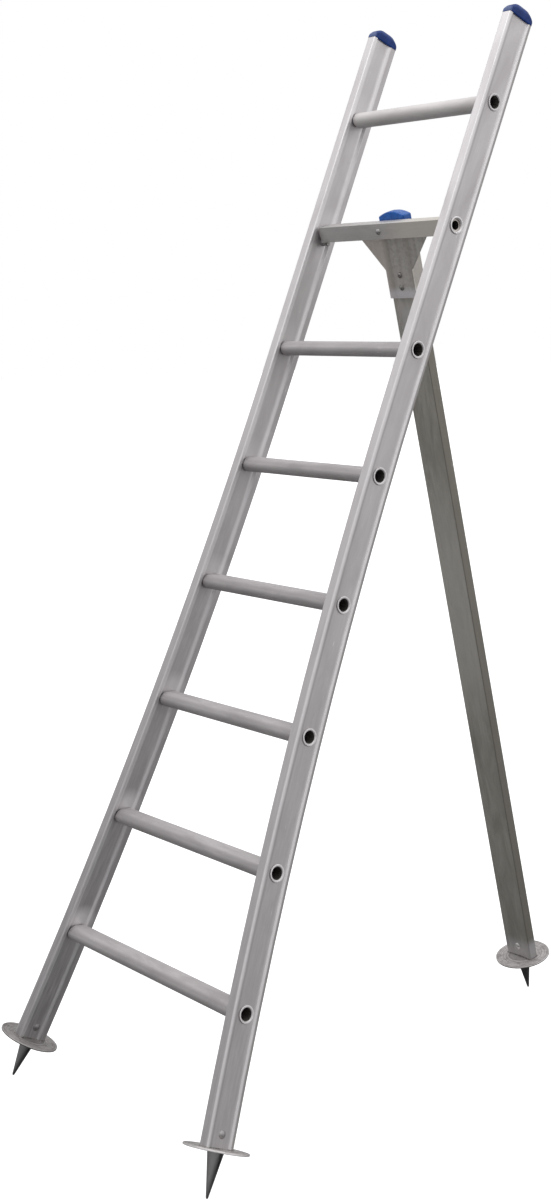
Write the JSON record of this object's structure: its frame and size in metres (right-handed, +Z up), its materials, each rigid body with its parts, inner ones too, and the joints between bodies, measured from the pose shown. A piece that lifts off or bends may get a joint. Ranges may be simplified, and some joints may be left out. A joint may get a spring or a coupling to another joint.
{
  "type": "orchard ladder",
  "caption": "Aluminium orchard tripod ladder: splayed stiles with level hollow treads, a folding rear leg on a hinge beam, and ground discs with spikes.",
  "frame": {"origin": "on the ground, in the middle of the box around the standing ladder", "axes": "+Z up from the ground, +Y to the back where the leg stands, so the front faces -Y; +X to the right of someone climbing, the ladder being symmetric about X = 0"},
  "size_m": [0.8408, 1.3506, 2.3365],
  "materials": {
    "aluminium": "mill-finished extrusion with fine lengthwise die lines",
    "leg_aluminium": "dull mill-finished extrusion, scuffed",
    "blue_plastic": "moulded, slightly glossy",
    "disc_steel": "galvanised sheet with turned rings",
    "spike_steel": "dark turned steel",
    "zinc_plated_steel": "zinc plated, mottled",
    "black_nylon": "moulded, matt"
  },
  "bodies": {
    "ladder": {"left_stile": "aluminium", "right_stile": "aluminium", "rung_1": "aluminium", "rung_2": "aluminium", "rung_3": "aluminium", "rung_4": "aluminium", "rung_5": "aluminium", "rung_6": "aluminium", "top_rung": "aluminium", "left_hinge_sleeve": "aluminium", "right_hinge_sleeve": "aluminium", "left_stop_pin": "zinc_plated_steel", "right_stop_pin": "zinc_plated_steel", "left_stile_cap": "blue_plastic", "right_stile_cap": "blue_plastic", "left_foot_plug": "black_nylon", "right_foot_plug": "black_nylon", "left_foot_disc": "disc_steel", "right_foot_disc": "disc_steel", "left_spike": "spike_steel", "right_spike": "spike_steel", "left_foot_rivet": "zinc_plated_steel", "right_foot_rivet": "zinc_plated_steel"},
    "leg": {"hinge_axle": "aluminium", "hinge_beam": "leg_aluminium", "left_beam_plug": "black_nylon", "right_beam_plug": "black_nylon", "left_spacer": "aluminium", "right_spacer": "aluminium", "leg_bracket": "zinc_plated_steel", "rear_leg": "leg_aluminium", "leg_cap": "blue_plastic", "leg_foot_plug": "black_nylon", "leg_foot_disc": "disc_steel", "leg_spike": "spike_steel", "leg_foot_rivet": "zinc_plated_steel", "beam_bolt": "zinc_plated_steel", "beam_nut": "zinc_plated_steel", "leg_bolts": "zinc_plated_steel", "leg_nuts": "zinc_plated_steel"}
  },
  "joints": [
    {"name": "leg_fold", "type": "hinge", "parent": "ladder", "child": "leg", "pos_m": [0, 0.14535, 1.87125], "axis": [-1, 0, 0], "range_deg": [0, 36.2]}
  ]
}
